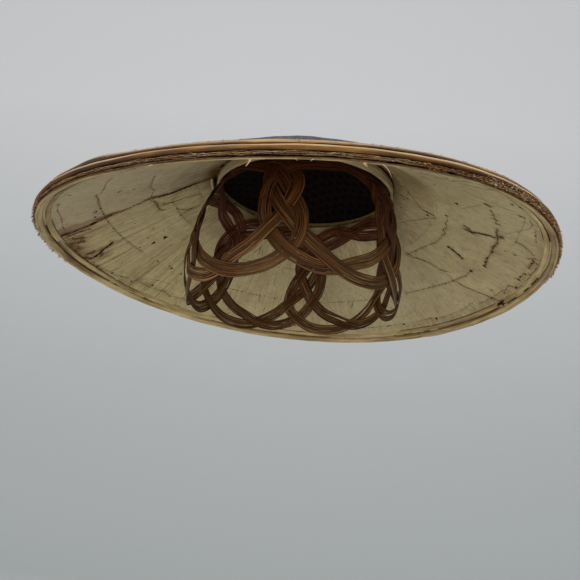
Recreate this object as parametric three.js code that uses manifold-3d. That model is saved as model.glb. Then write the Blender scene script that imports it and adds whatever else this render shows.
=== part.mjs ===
// Conical bamboo hat with a leaf lining and a plaited head basket.
// Millimetres, +Z up along the crown's axis, -Y to the front, origin where the head sits:
// on the axis, in the plane of the rim.
import * as THREE from "three";
import { mergeVertices } from "three/addons/utils/BufferGeometryUtils.js";
import Module from "manifold-3d";

const wasm = await Module();
wasm.setup();

// Cone and rim
const RIM_RADIUS = 205;
const CONE_SLOPE = 0.61; // rise for each millimetre of radius
const APEX_ROUNDING = 8;
const APEX_LEAN = 6; // how far the apex stands to +X of the rim's middle
const RIM_WARP = 7.4; // the rim rises and dips by this much, twice round
const RIM_WARP_TURN = 71; // degrees from the front to a high point, towards +X
const RIM_RIPPLE = 1.4; // and by this much, three times round
const RIM_RIPPLE_TURN = 45;
const SEAT_GAP = 0.35;
const ROUND_STEPS = 56;

// Layers of the wall, each measured upright, from the lining up to the lacquered cover
const LINING_UNDERSIDE = -2.2; // height of the lining's face at the rim's radius
const LINING_THICKNESS = 1.4;
const LEAF_THICKNESS = 1.5;
const FRAME_THICKNESS = 1.6;
const COVER_THICKNESS = 3;
const OPENING_RADIUS = 76.8; // where the lower layers stop round the crown
const LINING_RADIUS = 204;
const COVER_RADIUS = 200.2;
const LEAF_TEAR = 0.9; // the torn edge goes in and out by this much, in two waves
const TEAR_WAVES = [11, 17]; // how often each wave comes round
const TEAR_INWARD = 0.6; // more is torn off than is left standing out

// Bamboo hoops
const RIM_HOOP_INSIDE = 200.9;
const RIM_HOOP_OUTSIDE = 206.3;
const RIM_HOOP_HEIGHTS = [2.4, 5.7]; // above the rim's plane, at the rim's radius
const RIM_HOOP_CREST = 3.8; // the hoop's top at its inside, above the cone's line
const UPPER_STRIP_RADII = [195.6, 203.9];
const UPPER_STRIP_THICKNESS = 1.25; // at its inside, on the cover
const UPPER_STRIP_FACE = [7.2, 8.75]; // heights of its outer face, which overhangs the rim hoop
const LOWER_HOOP_RADII = [199, 204.2];
const LOWER_HOOP_THICKNESS = 1.3;
const INNER_STRIP_RADII = [193.8, 198.6];
const INNER_STRIP_THICKNESS = 0.9;
const CROWN_HOOP_RADII = [74.4, 76.4];
const CROWN_HOOP_HEIGHTS = [67, 76.2];

// Head basket: flat bundles of rattan skein, plaited four and four
const PLAIT_COUNT = 6;
const PLAIT_SPACING = 360 / PLAIT_COUNT;
const FIRST_PLAIT_TURN = -9.5; // degrees from the front
const BUNDLE_WIDTH = 10;
const BUNDLE_THICKNESS = 2;
const BUNDLE_LIFT = 0.7; // a bundle lies this far out where it crosses over, and in where under
const BUNDLE_STEPS = 28;
const BASKET_MEAN_RADIUS = 85; // at which distances round the basket are measured
const BASKET_LEAN = 0.0565; // sideways shift to +X for each millimetre above the rim
const BASKET_TILT = 3; // the lower band lies this much lower on the -X side than on the axis

// Radius of the bundles' middle line at each height
const BASKET_PROFILE = [
  { height: -42, radius: 81.5 },
  { height: -30, radius: 85 },
  { height: -15, radius: 88 },
  { height: 0, radius: 89.5 },
  { height: 12, radius: 89.5 },
  { height: 25, radius: 87.5 },
  { height: 40, radius: 84.5 },
  { height: 55, radius: 79.2 },
  { height: 66, radius: 72.4 },
  { height: 78, radius: 70.5 },
];

// Two closed loops of bundle, repeated for each plait. Each runs down a plait, along the lower band,
// up the next plait, and back along the upper band. Turns are degrees from the plait that it runs
// down. Side is 1 where the bundle crosses over another, -1 where under, and 0 in between.
const SWEEPING_LOOP = [
  { turn: -8.2, height: 26, side: 0 },
  { turn: -7.2, height: 14, side: 0 },
  { turn: -4.2, height: 2.5, side: -1 },
  { turn: 0.2, height: -8, side: 0 },
  { turn: 5, height: -15, side: 1 },
  { turn: 13, height: -21.5, side: 0.4 },
  { turn: 21, height: -24.2, side: -0.5 },
  { turn: 30, height: -22.3, side: -1 },
  { turn: 38, height: -17, side: -0.3 },
  { turn: 47, height: -10.3, side: 0.5 },
  { turn: 55, height: 1, side: 1 },
  { turn: 61.3, height: 15, side: -1 },
  { turn: 65.2, height: 28, side: 1 },
  { turn: 66.3, height: 37.5, side: 0.5 },
  { turn: 65, height: 46, side: -0.4 },
  { turn: 61.3, height: 54, side: -1 },
  { turn: 57, height: 60, side: 1 },
  { turn: 49, height: 65.8, side: 0.3 },
  { turn: 40, height: 67.5, side: -0.5 },
  { turn: 30, height: 64, side: -1 },
  { turn: 20, height: 59.5, side: -0.2 },
  { turn: 10, height: 57, side: 0.5 },
  { turn: 2, height: 54, side: 1 },
  { turn: -3.8, height: 48.5, side: -1 },
  { turn: -7.5, height: 38, side: 1 },
];

const CROSSING_LOOP = [
  { turn: -7.8, height: 38, side: -1 },
  { turn: -4, height: 28, side: 0 },
  { turn: 1.5, height: 15.5, side: 1 },
  { turn: 10.3, height: 0.3, side: -1 },
  { turn: 18.5, height: -11.5, side: 0.5 },
  { turn: 30, height: -22.3, side: 1 },
  { turn: 38, height: -26, side: 0.3 },
  { turn: 47, height: -26.3, side: -0.3 },
  { turn: 56, height: -23.5, side: -0.7 },
  { turn: 65, height: -15, side: -1 },
  { turn: 69.6, height: -6, side: 0.2 },
  { turn: 70.6, height: 3, side: 1 },
  { turn: 69.2, height: 16, side: 0.3 },
  { turn: 65.2, height: 28, side: -1 },
  { turn: 60.5, height: 38.5, side: 0 },
  { turn: 56.3, height: 47.5, side: 1 },
  { turn: 50.8, height: 53.5, side: -1 },
  { turn: 42, height: 58.3, side: 0 },
  { turn: 30, height: 64, side: 1 },
  { turn: 19, height: 67.8, side: 0.4 },
  { turn: 9, height: 66.6, side: -0.4 },
  { turn: -2.5, height: 60.5, side: -1 },
  { turn: -8.3, height: 53, side: 1 },
  { turn: -9.4, height: 46, side: 0 },
];

const radians = THREE.MathUtils.degToRad;

// The rim's rise above its own plane at a turn from the front
function rimRise(turn) {
  const twice = RIM_WARP * Math.cos(2 * (turn - radians(RIM_WARP_TURN)));
  const thrice = RIM_RIPPLE * Math.cos(3 * (turn - radians(RIM_RIPPLE_TURN)));
  return twice + thrice;
}

// Height on the straight cone whose wall stands `offset` above the rim's plane at the rim's radius
function coneHeight(radius, offset) {
  return offset + CONE_SLOPE * (RIM_RADIUS - Math.hypot(radius, APEX_ROUNDING));
}

const onCone = (radius, offset) => new THREE.Vector2(radius, coneHeight(radius, offset));

// How far the torn leaf edge reaches past the rim's radius at a turn, and back where negative
function leafTear(turn) {
  const [slow, fast] = TEAR_WAVES;
  return LEAF_TEAR * (Math.sin(slow * turn) + Math.sin(fast * turn + 1) - TEAR_INWARD);
}

// Leans a round piece towards the apex and gives it the rim's warp
function shapeToHat(geometry, tearAt = () => 0) {
  const position = geometry.attributes.position;
  for (let i = 0; i < position.count; i += 1) {
    const x = position.getX(i);
    const y = position.getY(i);
    const radius = Math.hypot(x, y);
    const turn = Math.atan2(x, -y);
    const share = radius / RIM_RADIUS;
    const tear = radius > LINING_RADIUS ? tearAt(turn) : 0;
    const widened = 1 + tear / RIM_RADIUS;
    position.setX(i, x * widened + APEX_LEAN * (1 - share));
    position.setY(i, y * widened);
    position.setZ(i, position.getZ(i) - CONE_SLOPE * tear + share * share * rimRise(turn));
  }
  return geometry;
}

// Keeps positions alone, so that faces share their corners
function weld(geometry) {
  geometry.deleteAttribute("normal");
  geometry.deleteAttribute("uv");
  return mergeVertices(geometry, 1e-3);
}

// Turns an outline of radius and height round the axis
function revolve(outline) {
  const geometry = new THREE.LatheGeometry(outline, ROUND_STEPS);
  geometry.rotateX(Math.PI / 2);
  return weld(geometry);
}

function closed(outline) {
  return [...outline, outline[0].clone()];
}

// One conical layer, from the opening round the crown out to its edge
function coneLayer(underside, thickness, edgeRadius) {
  const top = underside + thickness;
  const radii = [OPENING_RADIUS, edgeRadius];
  const under = radii.map((radius) => onCone(radius, underside));
  const over = radii.toReversed().map((radius) => onCone(radius, top));
  return closed([...under, ...over]);
}

const leafUnderside = LINING_UNDERSIDE + LINING_THICKNESS + SEAT_GAP;
const frameUnderside = leafUnderside + LEAF_THICKNESS + SEAT_GAP;
const coverUnderside = frameUnderside + FRAME_THICKNESS + SEAT_GAP;
const coverTop = coverUnderside + COVER_THICKNESS;

function makeCover() {
  const radii = [0, APEX_ROUNDING, 2.5 * APEX_ROUNDING, OPENING_RADIUS, COVER_RADIUS];
  const under = radii.map((radius) => onCone(radius, coverUnderside));
  const over = radii.toReversed().map((radius) => onCone(radius, coverTop));
  return shapeToHat(revolve([...under, ...over]));
}

const makeLining = () => shapeToHat(revolve(coneLayer(LINING_UNDERSIDE, LINING_THICKNESS, LINING_RADIUS)));

const makeLeaves = () => shapeToHat(revolve(coneLayer(leafUnderside, LEAF_THICKNESS, RIM_RADIUS)), leafTear);

const makeFrame = () => shapeToHat(revolve(coneLayer(frameUnderside, FRAME_THICKNESS, COVER_RADIUS)));

// The strip that lies on the cover and covers its edge
function makeUpperStrip() {
  const [inside, outside] = UPPER_STRIP_RADII;
  const [low, high] = UPPER_STRIP_FACE;
  const seat = coverTop + SEAT_GAP;
  const outline = [
    onCone(inside, seat),
    new THREE.Vector2(outside, low),
    new THREE.Vector2(outside, high),
    onCone(inside, seat + UPPER_STRIP_THICKNESS),
  ];
  return shapeToHat(revolve(closed(outline)));
}

// A flat strip against the lining's underside
function makeLowerStrip([inside, outside], thickness) {
  const top = LINING_UNDERSIDE - SEAT_GAP;
  const outline = [
    onCone(inside, top - thickness),
    onCone(outside, top - thickness),
    onCone(outside, top),
    onCone(inside, top),
  ];
  return shapeToHat(revolve(closed(outline)));
}

// The thick half-round hoop that sits on the leaves outside the cover's edge
function makeRimHoop() {
  const seat = leafUnderside + LEAF_THICKNESS + SEAT_GAP;
  const [low, high] = RIM_HOOP_HEIGHTS;
  const outline = [
    onCone(RIM_HOOP_INSIDE, seat),
    new THREE.Vector2(RIM_RADIUS, low),
    new THREE.Vector2(RIM_HOOP_OUTSIDE, (low + high) / 2),
    new THREE.Vector2(RIM_RADIUS, high),
    onCone(RIM_HOOP_INSIDE, RIM_HOOP_CREST),
  ];
  return shapeToHat(revolve(closed(outline)));
}

function makeCrownHoop() {
  const [inside, outside] = CROWN_HOOP_RADII;
  const [low, high] = CROWN_HOOP_HEIGHTS;
  const outline = [
    new THREE.Vector2(inside, low),
    new THREE.Vector2(outside, low),
    new THREE.Vector2(outside, high),
    new THREE.Vector2(inside, high),
  ];
  return shapeToHat(revolve(closed(outline)));
}

// Radius of the basket's surface at a height, along its profile
function basketRadius(height) {
  const above = BASKET_PROFILE.findIndex((row) => row.height >= height);
  const high = BASKET_PROFILE[above];
  const low = BASKET_PROFILE[above - 1];
  const share = (height - low.height) / (high.height - low.height);
  return THREE.MathUtils.lerp(low.radius, high.radius, share);
}

// A point of the basket, `out` millimetres outside its surface
function onBasket(turn, height, out) {
  const radius = basketRadius(height) + out;
  return new THREE.Vector3(radius * Math.sin(turn), -radius * Math.cos(turn), height);
}

// The closed line that a loop's rows describe: its X is the distance round the basket, its Y the
// height, and its Z how far the bundle lies out from the basket's surface
function traceLoop(rows) {
  const knots = rows.map(({ turn, height, side }) => {
    return new THREE.Vector3(radians(turn) * BASKET_MEAN_RADIUS, height, side * BUNDLE_LIFT);
  });
  const line = new THREE.CatmullRomCurve3(knots, true, "centripetal");
  return line.getSpacedPoints(BUNDLE_STEPS).slice(0, BUNDLE_STEPS);
}

// The middle of a bundle's section at each step, with the directions across it and out of it
function makeSections(steps) {
  const middles = steps.map((step) => onBasket(step.x / BASKET_MEAN_RADIUS, step.y, step.z));
  return middles.map((middle, i) => {
    const next = middles[(i + 1) % BUNDLE_STEPS];
    const last = middles[(i + BUNDLE_STEPS - 1) % BUNDLE_STEPS];
    const along = next.clone().sub(last).normalize();
    const turn = steps[i].x / BASKET_MEAN_RADIUS;
    const flare = (basketRadius(steps[i].y + 1) - basketRadius(steps[i].y - 1)) / 2;
    const outwards = new THREE.Vector3(Math.sin(turn), -Math.cos(turn), -flare);
    const across = new THREE.Vector3().crossVectors(along, outwards).normalize();
    const facing = new THREE.Vector3().crossVectors(across, along);
    return { middle, across, facing };
  });
}

// A flat bundle along a closed loop: a square-sectioned ring, laid along the loop and flattened
function makeBundle(rows) {
  const sections = makeSections(traceLoop(rows));
  const halfDiagonals = [Math.SQRT1_2 * BUNDLE_WIDTH, Math.SQRT1_2 * BUNDLE_THICKNESS];
  const geometry = new THREE.TorusGeometry(BUNDLE_WIDTH, BUNDLE_THICKNESS, 4, BUNDLE_STEPS);
  const position = geometry.attributes.position;
  const uv = geometry.attributes.uv;
  for (let i = 0; i < position.count; i += 1) {
    const section = sections[Math.round(uv.getX(i) * BUNDLE_STEPS) % BUNDLE_STEPS];
    const corner = 2 * Math.PI * uv.getY(i) + Math.PI / 4;
    const point = section.middle.clone();
    point.addScaledVector(section.across, halfDiagonals[0] * Math.cos(corner));
    point.addScaledVector(section.facing, halfDiagonals[1] * Math.sin(corner));
    position.setXYZ(i, point.x, point.y, point.z);
  }
  return weld(geometry);
}

function toSolid(geometry) {
  const mesh = new wasm.Mesh({
    numProp: 3,
    vertProperties: new Float32Array(geometry.attributes.position.array),
    triVerts: new Uint32Array(geometry.index.array),
  });
  return new wasm.Manifold(mesh);
}

function toGeometry(solid) {
  const mesh = solid.getMesh();
  const geometry = new THREE.BufferGeometry();
  geometry.setAttribute("position", new THREE.BufferAttribute(mesh.vertProperties, 3));
  geometry.setIndex(new THREE.BufferAttribute(mesh.triVerts, 1));
  return geometry;
}

// Leans the basket with the crown, and lets its lower band hang a little lower on the -X side
function hangBasket(geometry) {
  const position = geometry.attributes.position;
  const topHeight = CROWN_HOOP_HEIGHTS[0];
  const bottomRadius = basketRadius(0);
  for (let i = 0; i < position.count; i += 1) {
    const x = position.getX(i);
    const height = position.getZ(i);
    const drop = Math.max(0, 1 - height / topHeight);
    position.setX(i, x + BASKET_LEAN * Math.max(0, height));
    position.setZ(i, height + BASKET_TILT * drop * Math.min(0, x / bottomRadius));
  }
  return geometry;
}

// All the loops, joined where they cross
function makeBasket() {
  const loops = [makeBundle(SWEEPING_LOOP), makeBundle(CROSSING_LOOP)];
  let basket = null;
  for (let plait = 0; plait < PLAIT_COUNT; plait += 1) {
    for (const loop of loops) {
      const turned = loop.clone().rotateZ(radians(FIRST_PLAIT_TURN + plait * PLAIT_SPACING));
      const solid = toSolid(turned);
      basket = basket ? basket.add(solid) : solid;
    }
  }
  return hangBasket(toGeometry(basket));
}

const finishes = {
  lacquer: { color: 0x171b2a, roughness: 0.28 },
  goldenBamboo: { color: 0xb88a45, roughness: 0.5 },
  paleBamboo: { color: 0xc0ad80, roughness: 0.55 },
  splints: { color: 0xa98d58, roughness: 0.7 },
  brownLeaf: { color: 0x7d5a38, roughness: 0.85 },
  paleLeaf: { color: 0xb9b08c, roughness: 0.75 },
  rattan: { color: 0x7a4b26, roughness: 0.5 },
};

function makeMesh(name, geometry, finish) {
  geometry.computeVertexNormals();
  const material = new THREE.MeshStandardMaterial({ ...finishes[finish], metalness: 0 });
  const mesh = new THREE.Mesh(geometry, material);
  mesh.name = name;
  return mesh;
}

const hat = new THREE.Group();
hat.add(makeMesh("cover", makeCover(), "lacquer"));
hat.add(makeMesh("upper_strip", makeUpperStrip(), "goldenBamboo"));
hat.add(makeMesh("rim_hoop", makeRimHoop(), "goldenBamboo"));
hat.add(makeMesh("bamboo_frame", makeFrame(), "splints"));
hat.add(makeMesh("leaf_layer", makeLeaves(), "brownLeaf"));
hat.add(makeMesh("leaf_lining", makeLining(), "paleLeaf"));
hat.add(makeMesh("lower_hoop", makeLowerStrip(LOWER_HOOP_RADII, LOWER_HOOP_THICKNESS), "paleBamboo"));
hat.add(makeMesh("inner_strip", makeLowerStrip(INNER_STRIP_RADII, INNER_STRIP_THICKNESS), "paleBamboo"));
hat.add(makeMesh("crown_hoop", makeCrownHoop(), "paleBamboo"));
hat.add(makeMesh("head_basket", makeBasket(), "rattan"));

export default hat;
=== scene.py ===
import math
import random
from functools import partial

import bpy
import numpy as np
from mathutils import Matrix, Vector


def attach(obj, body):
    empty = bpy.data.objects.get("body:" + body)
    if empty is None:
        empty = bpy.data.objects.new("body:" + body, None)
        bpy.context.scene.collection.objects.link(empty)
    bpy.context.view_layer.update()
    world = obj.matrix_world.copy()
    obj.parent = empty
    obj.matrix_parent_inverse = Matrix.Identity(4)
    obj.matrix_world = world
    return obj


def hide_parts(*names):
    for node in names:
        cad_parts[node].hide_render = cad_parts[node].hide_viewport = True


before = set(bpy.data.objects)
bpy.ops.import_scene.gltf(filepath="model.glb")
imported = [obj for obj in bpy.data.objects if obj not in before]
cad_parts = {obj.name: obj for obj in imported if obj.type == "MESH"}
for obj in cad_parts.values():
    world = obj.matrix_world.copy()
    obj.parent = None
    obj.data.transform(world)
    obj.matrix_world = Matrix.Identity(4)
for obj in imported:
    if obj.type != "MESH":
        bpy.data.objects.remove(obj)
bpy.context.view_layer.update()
mm = 0.001

# The hat's cone as in the solids, in millimetres and degrees. Turns run from the front towards +X.
cone = {"rim": 205, "slope": 0.61, "apexRounding": 8, "lean": 6,
        "warp": 7.4, "warpTurn": 71, "ripple": 1.4, "rippleTurn": 45}


def rimRise(turn):
    # how far the warped rim stands over its own plane
    t = np.radians(turn)
    warp = cone["warp"] * np.cos(2 * (t - math.radians(cone["warpTurn"])))
    return warp + cone["ripple"] * np.cos(3 * (t - math.radians(cone["rippleTurn"])))


def upright(radius, turn, height):
    # a place at a height over the rim's plane, in metres
    t = np.radians(turn)
    share = radius / cone["rim"]
    x = radius * np.sin(t) + cone["lean"] * (1 - share)
    return np.stack([x, -radius * np.cos(t), height + share ** 2 * rimRise(turn)], -1) * mm


def onCone(radius, turn, lift):
    # a place on the cone; lift is measured upright from the cone that runs through the rim
    rise = cone["slope"] * (cone["rim"] - np.hypot(radius, cone["apexRounding"]))
    return upright(radius, turn, lift + rise)


def smoothNoise(places, seed, size):
    # a smooth random line, mostly within -1 and 1, with waves of about that size
    draw = random.Random(seed)
    total = np.zeros_like(np.asarray(places, float))
    for octave in range(4):
        wave = size / (1.0 + 0.83 * octave)
        total = total + np.sin(places * 2 * math.pi / wave + draw.uniform(0, 6.28)) / (1.0 + 0.6 * octave)
    return total / 1.9


def along(path, values):
    # the path's second column at each value of its first
    return np.interp(values, *zip(*sorted(path)))


def turnFrom(turn, middle):
    # degrees from one turn to another, the short way round
    return (turn - middle + 180) % 360 - 180


def near(turn, middle, reach):
    # 1 at a turn, fading away on both sides of it
    return np.exp(-(turnFrom(turn, middle) / reach) ** 2)


def readPlaces(piece):
    flat = np.empty(len(piece.data.vertices) * 3)
    piece.data.vertices.foreach_get("co", flat)
    return flat.reshape(-1, 3)


def addGrid(name, across, length):
    # a flat grid to be laid along something; its places run 0 to 1 both ways
    bpy.ops.object.select_all(action="DESELECT")
    bpy.ops.mesh.primitive_grid_add(x_subdivisions=across, y_subdivisions=length, size=1)
    piece = bpy.context.object
    piece.name = piece.data.name = name
    places = readPlaces(piece)
    return piece, places[:, 0] + 0.5, places[:, 1] + 0.5


def layOut(piece, places, grain, stain=0.0, tone=0.5, veins=0.5):
    # moves the vertices and keeps two things for the material: grain, how the fibres run (along, across,
    # which part), and look, how stained and painted with shade, how yellow and how veined the place is
    piece.data.vertices.foreach_set("co", np.ascontiguousarray(places, np.float32).ravel())
    for name, values in (("grain", grain), ("look", (stain, tone, veins))):
        layer = piece.data.attributes.new(name, "FLOAT_VECTOR", "POINT")
        rows = np.stack([np.broadcast_to(value, len(places)) for value in values], -1)
        layer.data.foreach_set("vector", rows.astype(np.float32).ravel())
    piece.data.update()
    return piece


def pick(piece):
    bpy.ops.object.select_all(action="DESELECT")
    bpy.context.view_layer.objects.active = piece
    piece.select_set(True)


def weldMesh(piece, turnOut=True, reach=1e-6, fill=0):
    # welds the seams, closes open ends and turns the faces out
    pick(piece)
    bpy.ops.object.mode_set(mode="EDIT")
    bpy.ops.mesh.select_all(action="SELECT")
    bpy.ops.mesh.remove_doubles(threshold=reach)
    if fill:
        bpy.ops.mesh.fill_holes(sides=fill)
        bpy.ops.mesh.select_all(action="SELECT")
    if turnOut:
        bpy.ops.mesh.normals_make_consistent(inside=False)
    bpy.ops.object.mode_set(mode="OBJECT")
    return piece


def joinPieces(name, pieces):
    pick(pieces[0])
    for piece in pieces:
        piece.select_set(True)
    if len(pieces) > 1:
        bpy.ops.object.join()
    joined = bpy.context.object
    joined.name = joined.data.name = name
    return joined


def repeatShape(name, template, shapes):
    # one mesh of many copies of a template, each laid out with its own places and grain
    pieces = []
    for shape in shapes:
        copy = template.copy()
        copy.data = template.data.copy()
        bpy.context.collection.objects.link(copy)
        pieces.append(layOut(copy, *shape))
    bpy.data.objects.remove(template)
    return joinPieces(name, pieces)


def thicken(piece, thickness):
    # gives a sheet its real thickness, in millimetres
    pick(piece)
    wall = piece.modifiers.new("wall", "SOLIDIFY")
    wall.thickness = thickness * mm
    wall.offset = 0
    bpy.ops.object.modifier_apply(modifier=wall.name)
    return piece


def finishPiece(piece, material, slot, *nodes, smooth=40):
    piece.data.materials.clear()
    piece.data.materials.append(material)
    pick(piece)
    bpy.ops.object.shade_smooth_by_angle(angle=math.radians(smooth))
    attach(piece, "root")
    if nodes:
        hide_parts(*nodes)
    return piece


# Materials

def colour(code):
    # an sRGB hex value as linear red, green, blue and alpha
    parts = [int(code[i:i + 2], 16) / 255 for i in (1, 3, 5)]
    return [part / 12.92 if part <= 0.04045 else ((part + 0.055) / 1.055) ** 2.4 for part in parts] + [1.0]


def addNode(tree, kind, links=None, out=0, stops=(), **settings):
    # one node: links holds a value or a socket for each input, stops a ramp's places and colours, and out
    # says which output, or which few, it gives back
    node = tree.nodes.new("ShaderNode" + kind)
    for key, value in settings.items():
        setattr(node, key, value)
    if stops:
        ramp = node.color_ramp
        while len(ramp.elements) < len(stops):
            ramp.elements.new(0.5)
        for element, (place, tint) in zip(ramp.elements, stops):
            element.position = place
            element.color = colour(tint)
    for key, value in (links or {}).items():
        if isinstance(value, bpy.types.NodeSocket):
            tree.links.new(value, node.inputs[key])
        else:
            node.inputs[key].default_value = value
    return [node.outputs[place] for place in out] if isinstance(out, tuple) else node.outputs[out]


def makeMaterial(name, paint, *choices):
    # paint adds a material's own nodes and says what goes into the shader
    material = bpy.data.materials.new(name)
    material.use_nodes = True
    material.node_tree.nodes.clear()
    add = partial(addNode, material.node_tree)
    add("OutputMaterial", {0: add("BsdfPrincipled", paint(add, *choices))}, out=())
    return material


def pieceGrain(add, *patterns):
    # the grain and the look that layOut keeps on a piece, with noise stretched along the grain. A pattern:
    # its scale for each millimetre along and across and from part to part, then its detail and roughness
    grain, look = (add("Attribute", out="Vector", attribute_name=name) for name in ("grain", "look"))
    noises = []
    for scale, detail, roughness in patterns:
        stretched = add("Mapping", {0: grain, "Scale": scale})
        noises.append(add("TexNoise", {"Vector": stretched, "Scale": 1.0, "Detail": detail,
                                       "Roughness": roughness}))
    return grain, add("SeparateXYZ", {0: look}, out=(0, 1, 2)), *noises


def driedLeaf(add):
    # bamboo sheath leaf, dried and pressed: dull, with fine parallel veins, blotches, old brown stains and
    # some painted shade.
    # Its grain is mm round the hat, mm along the veins and which leaf. Veins are 1 mm apart and 60 mm long.
    _grain, (stain, yellowness, veined), veins, broad, spots, fine = pieceGrain(
        add, ((0.9, 0.015, 7.3), 4.0, 0.65), ((0.030, 0.022, 3.1), 5.0, 0.6), ((0.22, 0.10, 2.0), 6.0, 0.7),
        ((0.7, 0.35, 1.3), 3.0, 0.7))
    grey = add("ValToRGB", {0: broad},
               stops=[(0.30, "#a08d71"), (0.48, "#aa997b"), (0.62, "#af9f82"), (0.78, "#a69274")])
    yellow = add("ValToRGB", {0: broad},
                 stops=[(0.30, "#a7976e"), (0.46, "#b0a175"), (0.60, "#b8a97d"), (0.78, "#af9b71")])
    tint = add("Mix", {0: yellowness, 6: grey, 7: yellow}, out=2, data_type="RGBA")
    for noise, share, stops in (
            (spots, 0.3, [(0.30, "#a08e74"), (0.42, "#e6dfd2"), (0.60, "#ffffff")]),
            (fine, 0.45, [(0.33, "#b9a888"), (0.45, "#f0ebe0"), (0.6, "#ffffff")]),
            (veins, veined, [(0.30, "#8a7b58"), (0.43, "#ddd6c2"), (0.56, "#ffffff"), (0.70, "#fffdf2")])):
        shade = add("ValToRGB", {0: noise}, stops=stops)
        tint = add("Mix", {0: share, 6: tint, 7: shade}, out=2, data_type="RGBA", blend_type="MULTIPLY")
    # a stain spreads further where the spots are dark, so its edge is ragged; the same brown paints shade and
    # shadow where the lining's stain value holds them
    spread = add("Math", {0: spots, 1: 1.6}, operation="MULTIPLY")
    edge = add("Math", {0: stain, 1: spread}, operation="SUBTRACT")
    stainedAndShaded = add("MapRange", {"Value": edge, "From Min": -0.75, "From Max": 0.25})
    brown = add("ValToRGB", {0: veins}, stops=[(0.32, "#402710"), (0.5, "#6d4b28"), (0.68, "#97733f")])
    tint = add("Mix", {0: stainedAndShaded, 6: tint, 7: brown}, out=2, data_type="RGBA")
    ribs = add("Bump", {"Strength": 0.4, "Distance": 0.00025, "Height": veins})
    puckers = add("Bump", {"Strength": 0.4, "Distance": 0.0012, "Height": broad, "Normal": ribs})
    return {"Base Color": tint, "Normal": puckers, "Roughness": 0.6, "Specular IOR Level": 0.3}


def brownLeaf(add):
    # older leaf from inside the wall: brittle, matt and brown, straw-coloured where its edge is torn
    _grain, (torn, _tone, _veins), fine, broad = pieceGrain(
        add, ((0.9, 0.05, 5.0), 5.0, 0.7), ((0.02, 0.04, 5.3), 3.0, 0.6))
    strands = add("Mix", {0: 0.5, 2: fine, 3: broad})
    body = add("ValToRGB", {0: strands},
               stops=[(0.36, "#27160b"), (0.46, "#56391e"), (0.54, "#7b5a35"), (0.63, "#a5855a")])
    straw = add("ValToRGB", {0: strands}, stops=[(0.38, "#6d4a2a"), (0.48, "#a88862"), (0.60, "#d0b894")])
    tint = add("Mix", {0: torn, 6: body, 7: straw}, out=2, data_type="RGBA")
    ribs = add("Bump", {"Strength": 0.5, "Distance": 0.0004, "Height": strands})
    return {"Base Color": tint, "Normal": ribs, "Roughness": 0.8, "Specular IOR Level": 0.25}


def tornFibre(add, stops):
    # leaf fibres torn loose: dry and matt, each of its own shade
    _grain, _look, each = pieceGrain(add, ((0.05, 0.3, 3.7), 1.0, 0.65))
    tint = add("ValToRGB", {0: each}, stops=stops)
    return {"Base Color": tint, "Roughness": 0.75, "Specular IOR Level": 0.25}


def splitBamboo(add, stops, roughness, stainAmount):
    # split bamboo: long straight fibres, a satin skin and brown stains, with painted shade on the lower and
    # hidden faces and a painted highlight on lit top edges. Its grain is mm along the strip, mm across it and
    # which strip. The fibres of half a millimetre would not show, so they are drawn in streaks about 1 mm
    # wide.
    _grain, (soilAndShade, _tone, _veins), fibres, broad, patches = pieceGrain(
        add, ((0.008, 0.9, 9.0), 5.0, 0.8), ((0.014, 0.05, 6.0), 3.0, 0.6), ((0.05, 0.35, 4.0), 6.0, 0.7))
    tint = add("ValToRGB", {0: add("Mix", {0: 0.5, 2: fibres, 3: broad})}, stops=stops)
    stain = add("ValToRGB", {0: patches}, stops=[(0.33, "#5e3a1c"), (0.47, "#c9a67c"), (0.6, "#ffffff")])
    tint = add("Mix", {0: stainAmount, 6: tint, 7: stain}, out=2, data_type="RGBA", blend_type="MULTIPLY")
    # the soil value is partly dirt and partly painted shade on the lower and hidden faces
    grimeAndShade = add("Math", {0: soilAndShade, 1: patches}, operation="SUBTRACT")
    grimeAndShadeShare = add("MapRange", {"Value": grimeAndShade, "From Min": -0.35, "From Max": 0.35})
    # below zero the same value says how far the skin is worn pale, partly a painted highlight on lit top
    # edges
    wearAndHighlight = add("MapRange", {"Value": soilAndShade, "From Min": -0.05, "From Max": -0.45})
    rubbed = add("Math", {0: wearAndHighlight, 1: fibres}, operation="MULTIPLY")
    # the dark colour is dirt and painted shade, the pale one wear and painted highlight
    for share, shade in ((grimeAndShadeShare, "#3f2812"), (rubbed, "#e2c69a")):
        tint = add("Mix", {0: share, 6: tint, 7: colour(shade)}, out=2, data_type="RGBA")
    ribs = add("Bump", {"Strength": 0.6, "Distance": 0.0003, "Height": fibres})
    return {"Base Color": tint, "Normal": ribs, "Roughness": roughness, "Specular IOR Level": 0.25}


def wovenSplints(add):
    # bare splints of the frame, between the layers: dull and yellow-brown, with grain along each splint
    stretched = add("Mapping", {0: add("TexCoord", out="Object"), "Scale": (900, 60, 200)})
    fibres = add("TexNoise", {"Vector": stretched, "Scale": 1.0, "Detail": 4.0, "Roughness": 0.7})
    tint = add("ValToRGB", {0: fibres}, stops=[(0.3, "#54401f"), (0.5, "#826a3a"), (0.7, "#a38c58")])
    return {"Base Color": tint, "Roughness": 0.65, "Specular IOR Level": 0.25}


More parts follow.
